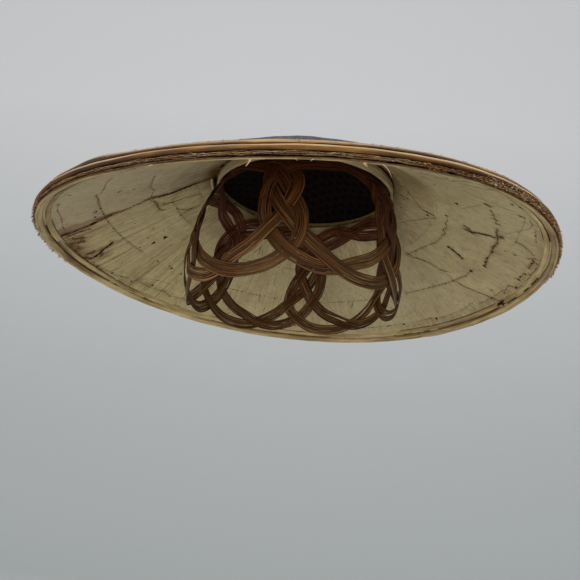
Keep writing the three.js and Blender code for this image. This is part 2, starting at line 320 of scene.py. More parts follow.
def rattanSkein(add):
    # rattan skein: smooth and slightly glossy, red-brown with age, each with its own shade; darker and redder
    # towards the top, partly patina and partly painted shade under the crown. Its grain is mm along the
    # skein, mm across it and which skein.
    grain, _look, fibres, shades = pieceGrain(
        add, ((0.03, 2.5, 11.0), 3.0, 0.6), ((0.008, 0.0, 1.7), 2.0, 0.5))
    half = add("Mix", {0: 0.5, 2: fibres, 3: shades})
    lower = add("ValToRGB", {0: half},
                stops=[(0.38, "#321d0b"), (0.46, "#57391c"), (0.54, "#724e29"), (0.62, "#a98254")])
    shadedUpper = add("ValToRGB", {0: half},
                stops=[(0.38, "#240c03"), (0.47, "#471d09"), (0.55, "#622e11"), (0.64, "#86491f")])
    # painted shade: darker towards the top, where the crown shades the skeins
    height = add("SeparateXYZ", {0: add("TexCoord", out="Object")}, out=2)
    shadeUnderCrown = add("MapRange", {"Value": height, "From Min": -0.012, "From Max": 0.05})
    body = add("Mix", {0: shadeUnderCrown, 6: lower, 7: shadedUpper}, out=2, data_type="RGBA")
    across = add("Math", {0: add("SeparateXYZ", {0: grain}, out=1)}, operation="ABSOLUTE")
    gapShade = add("MapRange", {"Value": across, "From Min": 0.34, "From Max": 0.53})      # painted shade in the gaps at both edges
    tint = add("Mix", {0: gapShade, 6: body, 7: colour("#160a04")}, out=2, data_type="RGBA")
    ribs = add("Bump", {"Strength": 0.4, "Distance": 0.0002, "Height": fibres})
    return {"Base Color": tint, "Normal": ribs, "Roughness": 0.5, "Specular IOR Level": 0.15}


def navyLacquer(add):
    # blue-black lacquer brushed on splints woven three ways: glossy, with the splints of 7 mm faintly under
    # it; bare on the inside, where the grain's third value says so, and near-black there as painted shade
    place = add("TexCoord", out="Object")
    weave = 0.0
    for angle in (0, 60, 120):
        turned = add("Mapping", {0: place, "Rotation": (0, 0, math.radians(angle)), "Scale": (45, 45, 0)})
        wave = add("TexWave", {"Vector": turned, "Scale": 1.0, "Distortion": 0.6, "Detail": 1.0}, out=1)
        weave = add("Math", {0: weave, 1: wave}, operation="ADD")
    brush = add("TexNoise", {"Vector": place, "Scale": 60.0, "Detail": 5.0})
    wear = add("TexNoise", {"Vector": place, "Scale": 22.0, "Detail": 8.0, "Roughness": 0.75})
    lacquer = add("ValToRGB", {0: wear}, stops=[(0.30, "#090b14"), (0.55, "#10152a"), (0.72, "#1b223b")])
    _turn, radius, side = add("SeparateXYZ", {0: pieceGrain(add)[0]}, out=(0, 1, 2))
    inside = add("Math", {0: side, 1: 4.85}, operation="LESS_THAN")
    third = add("Math", {0: weave, 1: 0.33}, operation="MULTIPLY")
    # painted shade: the bare splints inside are near-black for the deep shade inside the crown
    splints = add("ValToRGB", {0: third}, stops=[(0.25, "#060302"), (0.5, "#0c0704"), (0.75, "#140c07")])
    tint = add("Mix", {0: inside, 6: lacquer, 7: splints}, out=2, data_type="RGBA")
    dull = add("MapRange", {"Value": wear, "From Min": 0.35, "From Max": 0.75, "To Min": 0.34,
                            "To Max": 0.55})
    edge = add("MapRange", {"Value": radius, "From Min": 176.0, "From Max": 200.0, "To Max": 0.85})
    matt = inside
    for rubbed in (dull, edge):                              # where it is worn, and all along the rim
        matt = add("Math", {0: matt, 1: rubbed}, operation="MAXIMUM")
    woven = add("Bump", {"Strength": 0.7, "Distance": 0.0008, "Height": weave})
    brushed = add("Bump", {"Strength": 0.25, "Distance": 0.0005, "Height": brush, "Normal": woven})
    return {"Base Color": tint, "Normal": brushed, "Roughness": matt, "Specular IOR Level": 0.1}


def crackShade(add):
    # what shows through a crack: old brown leaf, nearly black where the crack is deep
    _grain, (depth, _tone, _veins), noise = pieceGrain(add, ((0.35, 0.35, 1.0), 2.0, 0.65))
    shallow = add("ValToRGB", {0: noise}, stops=[(0.35, "#2c1b0d"), (0.65, "#6a4c2a")])
    tint = add("Mix", {0: depth, 6: shallow, 7: colour("#1c1008")}, out=2, data_type="RGBA")
    return {"Base Color": tint, "Roughness": 0.95, "Specular IOR Level": 0.1}


def palePaper(add):
    # matt painted paper: even and pale, with painted shade making it a little darker low on the backdrop
    height = add("SeparateXYZ", {0: add("TexCoord", out="Object")}, out=2)
    rise = add("MapRange", {"Value": height, "From Min": -0.8, "From Max": 1.6})
    tint = add("ValToRGB", {0: rise}, stops=[(0.0, "#dadddb"), (0.12, "#adb1b0"), (1.0, "#dfdfdf")])
    return {"Base Color": tint, "Roughness": 0.9, "Specular IOR Level": 0.2}


strawShades = [(0.36, "#8f6e48"), (0.46, "#b3946a"), (0.54, "#c9b18b"), (0.64, "#dfd2b8")]
crumbShades = [(0.36, "#3a200d"), (0.46, "#7d502b"), (0.54, "#aa7a48"), (0.64, "#cfa472")]
goldenShades = [(0.40, "#2d1907"), (0.47, "#5a390c"), (0.53, "#7e571b"), (0.60, "#ba914f")]
paleShades = [(0.40, "#6b5533"), (0.47, "#9a8556"), (0.53, "#b19d6c"), (0.60, "#c9b88b")]
creamShades = [(0.36, "#94855c"), (0.46, "#b3a478"), (0.54, "#c2b48a"), (0.64, "#d0c49d")]
leafMaterial = makeMaterial("driedSheathLeaf", driedLeaf)
brownMaterial = makeMaterial("brittleLeaf", brownLeaf)
crackMaterial = makeMaterial("shadedLeaf", crackShade)
strawMaterial = makeMaterial("strawFibre", tornFibre, strawShades)
crumbMaterial = makeMaterial("brownFibre", tornFibre, crumbShades)
goldenMaterial = makeMaterial("goldenBamboo", splitBamboo, goldenShades, 0.5, 0.6)
paleMaterial = makeMaterial("paleBamboo", splitBamboo, paleShades, 0.55, 0.5)
creamMaterial = makeMaterial("creamBamboo", splitBamboo, creamShades, 0.5, 0.3)
frameMaterial = makeMaterial("wovenSplints", wovenSplints)
skeinMaterial = makeMaterial("rattanSkein", rattanSkein)
lacquerMaterial = makeMaterial("navyLacquer", navyLacquer)
paperMaterial = makeMaterial("palePaper", palePaper)
print("materials made")


# Lacquered cover

# facets: height in mm, how many round, how far they slant and the radius from which they are full
cover = {"edge": 200.35, "under": 3.35, "top": 6.35, "bevel": 0.8, "steps": 240,
         "rings": [0, 3, 6, 9, 13, 18, 25, 35, 50, 65, 80, 95, 110, 125, 140, 155, 170, 182, 192, 198, 200],
         "facets": [(0.35, 9, 21, 120), (0.25, 23, -9, 160)]}


def makeCover():
    # an outline from the apex down the outside, round the edge and back up the inside, spun about the axis
    edge, top, under, bevel = (cover[key] for key in ("edge", "top", "under", "bevel"))
    outline = [(radius, top) for radius in cover["rings"]] + [(edge, top - bevel), (edge, under + bevel)]
    outline += [(radius, under) for radius in reversed(cover["rings"])]
    bpy.ops.object.select_all(action="DESELECT")
    bpy.ops.mesh.primitive_plane_add(size=1)
    piece = bpy.context.object
    piece.name = piece.data.name = "cover"
    bpy.ops.object.mode_set(mode="EDIT")
    bpy.ops.mesh.select_all(action="SELECT")
    bpy.ops.mesh.merge(type="CENTER")
    bpy.ops.transform.translate(value=(0, 0, outline[0][1] * mm))
    for (r0, z0), (r1, z1) in zip(outline, outline[1:]):
        step = ((r1 - r0) * mm, 0, (z1 - z0) * mm)
        bpy.ops.mesh.extrude_region_move(TRANSFORM_OT_translate={"value": step})
    bpy.ops.mesh.select_all(action="SELECT")
    bpy.ops.mesh.spin(steps=cover["steps"], angle=2 * math.pi, center=(0, 0, 0), axis=(0, 0, 1))
    bpy.ops.object.mode_set(mode="OBJECT")
    weldMesh(piece, turnOut=False)
    places = readPlaces(piece) / mm
    radius = np.hypot(places[:, 0], places[:, 1])
    turn = np.degrees(np.arctan2(places[:, 0], -places[:, 1]))
    lift = places[:, 2]
    outside = lift > 0.5 * (under + top)
    side = np.where(outside, top, under)
    for height, count, slant, full in cover["facets"]:       # the splints pull the lacquer into facets
        facet = height * np.sin(np.radians(count * turn) + radius / slant) * np.clip(radius / full, 0, 1)
        lift = lift + facet * outside
    layOut(piece, onCone(radius, turn, lift), (turn, radius, side))
    return weldMesh(piece)


finishPiece(makeCover(), lacquerMaterial, "lacquer", "cover")
# the splint frame keeps its own mesh and only gets its material
for slot in bpy.data.objects["bamboo_frame"].material_slots:
    slot.material = frameMaterial
print("cover made")


# Bamboo hoops

# What every strip has unless its own settings say otherwise, in mm and degrees. A section's rows go round
# it: mm across, mm up, and how soiled that edge is, partly painted shade on the lower and hidden faces, or
# worn pale if below 0, partly a painted highlight on lit top edges. Darker places: turn, reach, and how
# dark the outer side is there. Spliced places are thicker: turn, reach and height. Waves: their length.
plainHoop = {"steps": 620, "pared": 0.12, "lapStep": 0, "stepOut": 0, "flare": 0, "grip": 8, "nodes": [],
             "nodeRise": 0.1, "nodeWidth": 0.5, "darkPlaces": [], "spliced": [], "wander": 0, "wanderWave": 47.0,
             "swell": 0.05, "swellWave": 23.0, "ridge": 0.05, "ridgeWave": 31.0, "blotch": 0.12,
             "blotchWave": 71.0}
rimHoop = {"radius": 201.0, "lift": 0, "seed": 11, "lapTurn": 152, "lap": 9, "scarf": 4, "wander": 0.12,
           "nodes": [38, 131, 222, 309],
           "darkPlaces": [(-17, 13, 0.35), (-75, 14, 0.2), (120, 30, 0.2), (205, 25, 0.25)],
           "section": [(0, 1.5, .6), (1.6, 1.45, .5), (3.2, 1.75, .45), (4.4, 2.4, .25), (5.1, 3.4, .12),
                       (5.3, 4.3, .05), (5.2, 5.05, -.55), (4.4, 5.7, -.5), (3.2, 5.3, -.1), (1.8, 4.5, .3),
                       (0, 3.6, .6), (0, 2.5, .6)]}
upperStrip = {"radius": 195.6, "lift": 0, "seed": 23, "lapTurn": 200, "lap": 10, "scarf": 5, "lapStep": 0.2,
              "wander": 0.3, "nodes": [70, 171, 255, 342], "darkPlaces": [(-60, 12, 0.2), (140, 30, 0.2)],
              "spliced": [(-37, 5, 1.9)],
              "section": [(0, 6.65, .3), (4.8, 6.65, .3), (6.3, 6.0, .3), (8.0, 5.7, .4), (8.6, 6.3, .2),
                          (8.65, 7.2, -.15), (8.1, 7.8, -.5), (6.2, 8.0, -.1), (3.8, 8.0, 0), (1.0, 7.9, .1),
                          (0, 7.4, .3)]}
lowerHoop = {"radius": 199.2, "lift": -2.4, "seed": 31, "lapTurn": 131, "lap": 8, "scarf": 6, "lapStep": -0.5,
             "wander": 0.15, "nodes": [28, 118, 215, 300],
             "section": [(0, 0, .7), (0, -0.9, .3), (0.5, -1.35, 0), (1.8, -1.5, -.2), (3.4, -1.5, 0),
                         (4.5, -1.4, -.2), (4.95, -1.1, .1), (5.1, -0.6, .65), (5.1, 0, .8)]}
innerStrip = {"radius": 194.2, "lift": -2.4, "seed": 43, "lapTurn": 268, "lap": 6, "scarf": 5,
              "lapStep": -0.3, "wander": 0.15, "nodes": [90, 181, 330],
              "section": [(0, 0, .5), (0, -0.5, .1), (0.5, -0.85, -.1), (2.0, -0.95, 0), (3.4, -0.85, .2),
                          (3.8, -0.5, .5), (3.8, 0, .8)]}
crownHoop = {"radius": 74.5, "lift": 67, "seed": 57, "steps": 300, "lapTurn": 258, "lap": 30, "scarf": 12,
             "lapStep": -1.5, "stepOut": 1.9, "flare": 4.5,
             "section": [(0, 0.4, 0), (0.5, 0, -.1), (1.4, 0, -.1), (1.8, 0.5, 0), (1.8, 3, .1), (1.8, 6, .2),
                         (1.8, 8.6, .4), (1.3, 9.1, .4), (0.5, 9.1, .4), (0, 8.6, .4), (-0.1, 6, .2),
                         (-0.1, 3, .1)]}


def addHoop(name, own, place=onCone):
    # a split strip bent round the hat; its two ends are pared thin and laid over each other
    hoop = {**plainHoop, **own}
    seed, section = hoop["seed"], hoop["section"]
    sides = len(section)
    piece, u, v = addGrid(name, sides, hoop["steps"])
    whole = 360 + hoop["lap"]
    turns = hoop["lapTurn"] + v * whole
    corner = np.rint(u * sides).astype(int) % sides
    across, height, soilAndShade = np.array(section, float)[corner].T
    taper = hoop["pared"] + (1 - hoop["pared"]) * np.minimum(v, 1 - v) * whole / hoop["scarf"]
    over = np.clip((v * whole - 360 + hoop["scarf"]) / hoop["scarf"], 0, 1)
    loose = np.clip(1 - (1 - v) * whole / (hoop["lap"] - hoop["grip"]), 0, 1)   # the upper end may stand off
    swell = 1 + hoop["swell"] * smoothNoise(turns, seed + 1, hoop["swellWave"])
    for node in hoop["nodes"]:                                # the joints of the cane stand a little proud
        swell = swell + hoop["nodeRise"] * np.exp(-((turns - node) % 360 / hoop["nodeWidth"]) ** 2)
    middle, seat = across.mean(), section[0][1]
    radius = hoop["radius"] + middle + (across - middle) * swell
    radius = radius + hoop["wander"] * smoothNoise(turns, seed, hoop["wanderWave"])
    radius = radius + hoop["stepOut"] * over + hoop["flare"] * loose ** 1.3
    lift = hoop["lift"] + seat + (height - seat) * np.clip(taper, 0, 1) * swell + hoop["lapStep"] * over
    lift = lift + hoop["ridge"] * smoothNoise(turns * 7 + corner * 40, seed + 2, hoop["ridgeWave"])
    arc = np.radians(turns) * hoop["radius"]
    girth = np.cumsum([0] + [math.dist(section[i][:2], section[i - 1][:2]) for i in range(1, sides)])[corner]
    stain = soilAndShade + hoop["blotch"] * smoothNoise(turns, seed + 3, hoop["blotchWave"])
    for turn, reach, strength in hoop["darkPlaces"]:
        stain = stain + strength * near(turns, turn, reach) * across / across.max()
    for turn, reach, rise in hoop["spliced"]:
        rise = rise * near(turns, turn, reach)
        radius, lift = radius + 0.4 * rise, lift + rise * (height - height.min()) / np.ptp(height)
    layOut(piece, place(radius, turns, lift), (arc, girth, seed * 0.37), stain)
    return weldMesh(piece, fill=sides + 2)


finishPiece(addHoop("rimHoop", rimHoop), goldenMaterial, "golden_bamboo", "rim_hoop")
finishPiece(addHoop("upperStrip", upperStrip), goldenMaterial, "golden_bamboo", "upper_strip")
finishPiece(addHoop("lowerHoop", lowerHoop), paleMaterial, "pale_bamboo", "lower_hoop")
finishPiece(addHoop("innerStrip", innerStrip), paleMaterial, "pale_bamboo", "inner_strip")
finishPiece(addHoop("crownHoop", crownHoop, upright), creamMaterial, "pale_bamboo", "crown_hoop")
print("hoops made")


# Leaf lining

# in mm; ripples: height, how many round and how far they slant
lining = {"middle": -2.15, "pull": 0.5, "pullWidth": 2.4, "thickness": 0.4, "cell": 1.7, "slices": 2.7,
          "outer": (111.5, 204.0), "inner": (77.2, 114.0), "overlap": 390, "curl": 0.55, "tuck": 0.35,
          "curlReach": 2.5, "drop": 0.35, "dropFrom": 104, "grainRadius": 150,
          "ripples": [(0.30, 5, 19), (0.18, 13, -11), (0.07, 61, 12.5), (0.05, 97, -20)]}

# the rows where the leaves are sewn to the frame, as turn and radius
sewnRows = [
    [(0, 190), (59, 189), (73, 190), (91, 189.5), (94, 191.5), (96, 188.5), (111, 185.5), (122, 187),
     (141, 187.5), (180, 188), (218, 184), (231, 182.5), (238, 188.5), (249, 192), (270, 190.5), (291, 191),
     (297, 192.5), (303, 188.5), (340, 190), (360, 190)],
    [(0, 166), (30, 162), (58, 160.5), (82, 161), (95, 164), (100, 160), (112, 158), (133, 156), (180, 157),
     (248, 157.5), (263, 160), (277, 161.5), (291, 165), (305, 168), (317, 172), (340, 170), (360, 166)],
    [(0, 131), (40, 126), (77, 122.5), (93, 124.5), (101, 125), (109, 122), (122, 120), (180, 121),
     (230, 121.5), (266, 122.5), (283, 126.5), (299, 130.5), (311, 134), (340, 134), (360, 131)],
    [(0, 93), (62, 88.5), (84, 86.5), (98, 86.5), (180, 89), (243, 91), (266, 91.5), (292, 94), (305, 95.5),
     (360, 93)],
]

# each leaf: its start edge as radius and turn, which lies over the leaf before, then how yellow and how
# veined it is
outerLeaves = [
    ([(111, 279.5), (123, 279), (133, 278.5), (143, 277), (154, 276.5), (167, 275.5), (178, 274), (205, 274)],
     0.3, 0.15),
    ([(111, 318), (160, 322), (205, 326)], 0.5, 0.4),
    ([(111, 12), (160, 16), (205, 21)], 0.75, 0.15),
    ([(111, 121), (125, 117), (134, 113), (144, 111), (167, 109.5), (179, 107), (205, 101)], 0.5, 0.2),
    ([(111, 170), (160, 165), (205, 161)], 0.7, 0.4),
    ([(111, 214), (160, 218), (205, 220)], 0.95, 0.75),
]
innerLeaves = [
    ([(77, 283), (84, 282), (100, 281), (114, 279.5)], 0.2, 0.3),
    ([(77, 326), (114, 329)], 0.5, 0.3),
    ([(77, 22), (114, 26)], 0.8, 0.2),
    ([(77, 79.5), (98, 80.5), (102, 83), (108, 82), (114, 83)], 0.6, 0.2),
    ([(77, 129), (114, 132)], 0.6, 0.4),
    ([(77, 187), (114, 184)], 0.6, 0.4),
    ([(77, 238), (114, 235)], 0.85, 0.6),
]
# where the last inner leaf ends short
wideGap = [(77, 281), (84, 280), (100, 278.5), (112, 277.5), (114, 277)]


def slackLift(turn, radius):
    # height of a leaf: pulled up along the sewn rows, slack and rippled between them
    lift = np.full(np.broadcast(turn, radius).shape, float(lining["middle"]))
    for row in sewnRows:
        offset = radius - along(row, np.asarray(turn, float) % 360)
        lift = lift + lining["pull"] * np.exp(-(offset / lining["pullWidth"]) ** 2)
    for height, count, slant in lining["ripples"]:
        lift = lift + height * np.sin(count * np.radians(turn) + radius / slant)
    return lift


def edgeCurl(fromStart, radius, seed):
    # the free edge of a leaf curls down, away from the leaf that it lies over
    curl = lining["curl"] * (1 + 0.5 * smoothNoise(radius, seed + 2, 31.0))
    return -curl * np.exp(-fromStart / lining["curlReach"])


def ringDrop(radius):
    # the inner leaves lie over the outer ones, so their outer edge hangs lower
    return -lining["drop"] * np.clip((radius - lining["dropFrom"]) / 10, 0, 1)


def liningLift(turn, radius):
    # height of the lining's middle at any place, for what lies on its underside
    turn, radius = np.broadcast_arrays(np.asarray(turn, float), np.asarray(radius, float))
    lift = slackLift(turn, radius)
    inner = radius < lining["inner"][1]
    for ring, leaves in enumerate((outerLeaves, innerLeaves)):
        for number, (start, _tone, _veins) in enumerate(leaves):
            fromStart = (turn - along(start, radius)) % 360
            curl = edgeCurl(fromStart, radius, 100 + 20 * ring + number)
            lift = lift + np.where((inner == ring) & (fromStart < 30), curl, 0)
    return lift + inner * ringDrop(radius)


# cracks charted from the photograph: the greatest width in mm, then turn and radius of each point
cracks = [
    (0.7, [(312, 171.5), (309.5, 170.5), (300, 165), (295, 164.5)]),
    (0.9, [(295, 167.5), (291, 164.5), (284, 162.5), (278.5, 161), (274.5, 160.5), (266.5, 160),
           (254.5, 158.5), (247, 158)]), (0.5, [(291, 164.5), (289, 165), (283, 162.5)]),
    (0.7, [(295.5, 191), (290.5, 190.5), (286, 188.5), (282.5, 188.5), (278, 189.5), (274.5, 189.5)]),
    (0.5, [(300, 191.5), (303, 190.5), (303, 188.5)]),
    (0.7, [(301.5, 132), (292.5, 129), (290, 129), (286, 125), (280.5, 126.5), (278, 124.5), (276.5, 127)]),
    (1.0, [(275, 125), (272, 123.5), (269, 122)]), (1.0, [(271, 124.5), (268, 123), (265.5, 122)]),
    (0.7, [(272.5, 112), (262.5, 111), (255.5, 112), (246, 112)]),
    (0.7, [(261.5, 111.5), (259, 108), (256, 104), (255, 96.5)]),
    (0.7, [(255.5, 112), (256.5, 102.5), (256, 99.5)]),
    (0.8, [(270, 121), (269, 112.5), (268, 103), (265.5, 91.5)]), (0.5, [(271, 120.5), (268.5, 108)]),
    (0.7, [(277, 92.5), (270, 91)]), (0.9, [(268.5, 92), (264.5, 91.5), (259, 90.5)]),
    (0.8, [(255, 192), (252.5, 193), (248.5, 192.5), (245.5, 190.5), (244.5, 191.5), (242, 189),
           (239, 186.5)]),
    (0.7, [(237, 186), (234.5, 185.5), (228, 185), (226, 183.5), (223, 186.5), (220, 184.5),
           (216.5, 184.5)]), (0.5, [(236, 181.5), (234, 177), (231, 175), (226, 173)]),
    (0.4, [(246.5, 181), (247.5, 176), (247.5, 173.5)]),
    (0.7, [(68.5, 84.5), (72.5, 89.5), (77.5, 95), (82, 100), (83, 104.5), (83, 108.5), (82, 112)]),
    (0.7, [(84, 113), (87.5, 108), (99, 98), (106.5, 93.5)]),
    (0.9, [(78, 122), (82, 123), (84, 122), (87, 124.5), (89.5, 122.5), (91, 125.5), (94, 124.5),
           (100, 124.5), (104, 122.5), (111, 120.5), (121, 119.5)]),
    (1.1, [(80.5, 135.5), (80, 140.5), (80.5, 145.5)]),
    (1.7, [(78, 136), (78.5, 140), (80, 142), (78, 148.5), (77, 152.5), (76, 157.5)]),
    (1.0, [(58, 160.5), (61.5, 160.5), (64.5, 161), (67, 160.5)]), (0.8, [(66, 162), (66.5, 163)]),
    (1.4, [(70, 161), (73, 160.5), (76, 162), (79, 162.5), (81.5, 161), (85, 161.5), (89.5, 161.5),
           (92, 162.5), (94.5, 164.5)]), (1.0, [(54, 160.5), (55, 161.5)]),
    (1.2, [(74.5, 163), (73.5, 165)]),
    (0.4, [(46.5, 152.5), (49, 158), (51, 163), (51, 170), (53, 175), (53, 181.5)]),
    (1.0, [(54.5, 182), (55, 183.5), (55.5, 186)]), (0.3, [(66.5, 133.5), (59.5, 146.5), (56, 155)]),
    (0.3, [(72.5, 164), (67, 174), (62, 184.5), (59, 189)]),
    (0.35, [(56.5, 185.5), (66.5, 177), (75.5, 173.5)]), (0.6, [(72.5, 175), (72.5, 180), (74, 183)]),
    (0.8, [(60.5, 190), (64.5, 189), (68, 189)]), (0.7, [(56.5, 189), (59, 189)]),
    (0.9, [(40, 192.5), (44.5, 191), (48, 190.5), (49.5, 194)]),
    (0.9, [(42, 121), (43, 124), (43.5, 126.5)]), (0.7, [(36, 133.5), (35.5, 158), (32.5, 190.5)]),
    (0.7, [(38, 143.5), (37.5, 169.5), (38, 194.5)]),
    (0.35, [(89, 111.5), (95.5, 112.5), (104.5, 112.5), (113, 112), (119, 111.5)]),
    (1.5, [(97.5, 134), (97.5, 140), (98, 147.5)]),
    (0.6, [(121, 115.5), (119, 122), (115.5, 128), (113.5, 134), (112, 142.5), (110, 147.5),
           (108.5, 151.5)]),
    (0.9, [(99.5, 160.5), (101, 160), (105, 160.5), (110, 159), (115, 158), (122, 156.5), (133, 155.5)]),
    (0.3, [(110, 162.5), (108.5, 169.5), (106.5, 179.5), (105.5, 182)]),
    (0.8, [(99.5, 188), (105, 188.5), (110.5, 188)]),
    (0.6, [(111, 184.5), (113.5, 185.5), (117, 188), (120.5, 187.5), (125, 189), (130, 187), (137.5, 187.5),
           (145, 187)]), (0.6, [(73, 174.5), (73, 181.5), (74.5, 186.5), (76, 189)]),
    (1.2, [(90.5, 189.5), (88.5, 189), (86.5, 190)]),
    (0.8, [(100, 190), (97.5, 188.5), (95.5, 187.5), (95, 190), (94.5, 193)]),
    (1.3, [(78, 190), (80, 190), (83, 189.5)]), (0.8, [(78.5, 186), (77, 190.5), (76.5, 194.5)]),
    (0.9, [(77, 196.5), (80.5, 195), (85.5, 193)]), (0.4, [(139.5, 179), (137, 178), (135, 176)]),
]
# the first four follow the main seam: mostly painted shadow under its lifted leaf edge, with some brown
# stain; the rest are tears
tearsAndSeamShadow = [
    (3.6, [(274, 200), (273.6, 192), (273.7, 182), (274, 173), (275.5, 165), (276.6, 154)]),
    (1.0, [(276.6, 154), (277.1, 143), (278.6, 133), (279, 127)]),
    (3.4, [(279.2, 127), (278.4, 118), (278.3, 110), (279, 102), (279.6, 94)]),
    (1.8, [(279.6, 94), (281, 86), (281.5, 78)]),
    (1.2, [(272.5, 191), (272, 186), (272, 180), (271.7, 174)]),
    (1.6, [(270.5, 189), (269, 186), (267.8, 180)]), (1.6, [(267, 191.5), (266.5, 187), (265.5, 182.5)]),
    (2.0, [(267.5, 196), (266.5, 192)]), (2.0, [(264.5, 189.5), (263.3, 192), (263.3, 196), (266, 196)]),
    (2.6, [(260, 196.5), (258, 194), (256.5, 192)]),
    (2.0, [(256.4, 193), (256.4, 187), (257, 181), (258, 176), (258.6, 171), (259.6, 166)]),
    (1.4, [(256, 179.5), (255.2, 183)]), (0.9, [(259.2, 187), (258.8, 182.5)]),
]

# brown places, some of them painted shadow: turn and radius of the middle, how far they reach both ways in
# degrees and mm, how strong
# (62, 98) is painted shadow cast by the crown hoop; (290, 82) and (45, 81) are stain and painted shade beside
# the crown hoop; (275.5, 190) and (276.8, 158) are stain and painted shadow beside the seam's edge
stainsAndShadows = [
    (275.5, 190, 2.6, 30, 0.9), (276.8, 158, 1.2, 14, 0.5), (264, 192, 6, 9, 0.85),
    (258, 178, 1.5, 16, 0.5), (269.5, 176, 2.8, 20, 0.6), (254, 181, 2, 6, 0.6), (233, 184, 6, 5, 0.4),
    (62, 98, 20, 17, 0.35), (48, 110, 8, 12, 0.25), (290, 82, 13, 6, 0.7), (45, 81, 20, 4, 0.6),
    (280, 95, 3, 22, 0.5), (252, 193, 16, 4, 0.4), (102, 191, 10, 4, 0.35), (75, 193, 30, 3, 0.35),
    (272, 112, 3, 4, 0.5), (130, 190, 20, 4, 0.3), (270, 120, 3, 3, 0.5),
]
# how the whole lining has aged: the inner ring and where the hoops cover its edge; the darkening round the
# crown is painted shade
ageingAndShade = {"ring": 112, "ringStain": 0.22, "crown": 86, "crownShadeAmount": 0.4, "rim": 201, "rimStain": 1.2}
# the inner edge falls short of the crown hoop from these turns on: turn, reach in degrees, and mm
cutBacks = [(46, 22, 3.2), (294, 10, 2.6)]


def crackHalo(turn, radius):
    # leaf has gone brown along its cracks, and beside the seam this brown is partly painted shadow: how near
    # each place is to one of them
    halo = np.zeros(len(turn))
    for width, line in cracks + tearsAndSeamShadow:
        for (t0, r0), (t1, r1) in zip(line, line[1:]):
            across, outwards = math.radians(t1 - t0) * r0, r1 - r0
            size = max(across ** 2 + outwards ** 2, 1e-6)
            x, y = np.radians(turnFrom(turn, t0)) * r0, radius - r0
            share = np.clip((x * across + y * outwards) / size, 0, 1)
            away = np.hypot(x - share * across, y - share * outwards)
            halo = np.maximum(halo, 0.5 * width * np.exp(-(away / (0.8 + 0.7 * width)) ** 2))
    return halo


def liningStainAndShade(turn, radius):
    # how brown the lining is at each place, from stains and painted shade
    stain = (radius < ageingAndShade["ring"]) * ageingAndShade["ringStain"]
    # painted shade, darker towards the crown hoop
    stain = stain + np.clip((ageingAndShade["crown"] - radius) / 20, 0, ageingAndShade["crownShadeAmount"])
    stain = stain + np.clip((radius - ageingAndShade["rim"]) / 2, 0, ageingAndShade["rimStain"])
    for middle, ring, wide, deep, strength in stainsAndShadows:
        stain = stain + strength * near(turn, middle, wide) * np.exp(-((radius - ring) / deep) ** 2)
    return np.maximum(stain, crackHalo(turn, radius))


def addLeaf(start, tail, reach, seed, tone, veins):
    # one pressed leaf: its start edge lies over the leaf before it, its tail under the leaf after it
    inner, outer = reach
    span = (along(tail, 0.5 * (inner + outer)) - along(start, 0.5 * (inner + outer))) % 360
    piece, u, v = addGrid("leaf", int(math.radians(span) * outer / lining["slices"]),
                          int((outer - inner) / lining["cell"]))
    radius = inner + v * (outer - inner)
    first = along(start, radius)
    width = (along(tail, radius) - first) % 360
    fromStart, fromTail = u * width, (1 - u) * width
    # the start edge is cut a little unevenly
    ragged = 0.22 * smoothNoise(radius, seed, 17.0) + 0.12 * smoothNoise(radius, seed + 5, 4.1)
    turn = first + fromStart + ragged * np.exp(-fromStart / 1.5)
    lift = slackLift(turn, radius) + edgeCurl(fromStart, radius, seed)
    lift = lift + lining["tuck"] * np.exp(-fromTail / lining["curlReach"])
    if reach == lining["inner"]:
        for place, fade, depth in cutBacks:
            radius = radius + depth * np.exp(-((turn - place) % 360 / fade) ** 2) * (1 - v) ** 3
        lift = lift + ringDrop(radius)
    grain = (np.radians(turn) * lining["grainRadius"], radius, seed)
    return layOut(piece, onCone(radius, turn, lift), grain, liningStainAndShade(turn, radius), tone, veins)


def makeLining():
    pieces = []
    for ring, (leaves, reach) in enumerate(((outerLeaves, lining["outer"]), (innerLeaves, lining["inner"]))):
        for number, (start, tone, veins) in enumerate(leaves):
            follower = leaves[(number + 1) % len(leaves)][0]
            tail = [(radius, turn + lining["overlap"] / radius) for radius, turn in follower]
            if ring == 1 and number == len(leaves) - 1:
                tail = wideGap
            pieces.append(addLeaf(start, tail, reach, 100 + 20 * ring + number, tone, veins))
    return thicken(joinPieces("leafLining", pieces), lining["thickness"])


finishPiece(makeLining(), leafMaterial, "pale_leaf", "leaf_lining", smooth=50)
print("lining made")


# Brown leaves between lining and cover, with their torn edges under the rim hoop

# in mm; a band: its inner and outer radius, its height, its seed, and how pale its torn edge is. The lower
# leaves stay dark.
leafBands = {"inner": 77.0, "sheet": 195.5, "across": 7, "steps": 1000, "thickness": 0.22, "grainRadius": 205,
             "bands": [(189, 204.9, 1.1, 61, 1.0), (190, 205.6, 0.6, 64, 1.0), (191, 205.2, 0.1, 67, 1.0),
                       (192, 205.8, -0.4, 70, 0.2), (193, 204.9, -0.9, 73, 0.2)]}


def tornEdge(turn, seed):
    # how far a torn edge falls short, in mm: broad tears with fine splinters in them
    broad = np.clip(smoothNoise(turn, seed, 21) + 0.1, 0, None) ** 2
    fine = np.abs(smoothNoise(turn, seed + 1, 2.5))
    splinters = np.abs(smoothNoise(turn, seed + 2, 0.6))
    return 1.3 * broad + 0.55 * fine + 0.45 * splinters


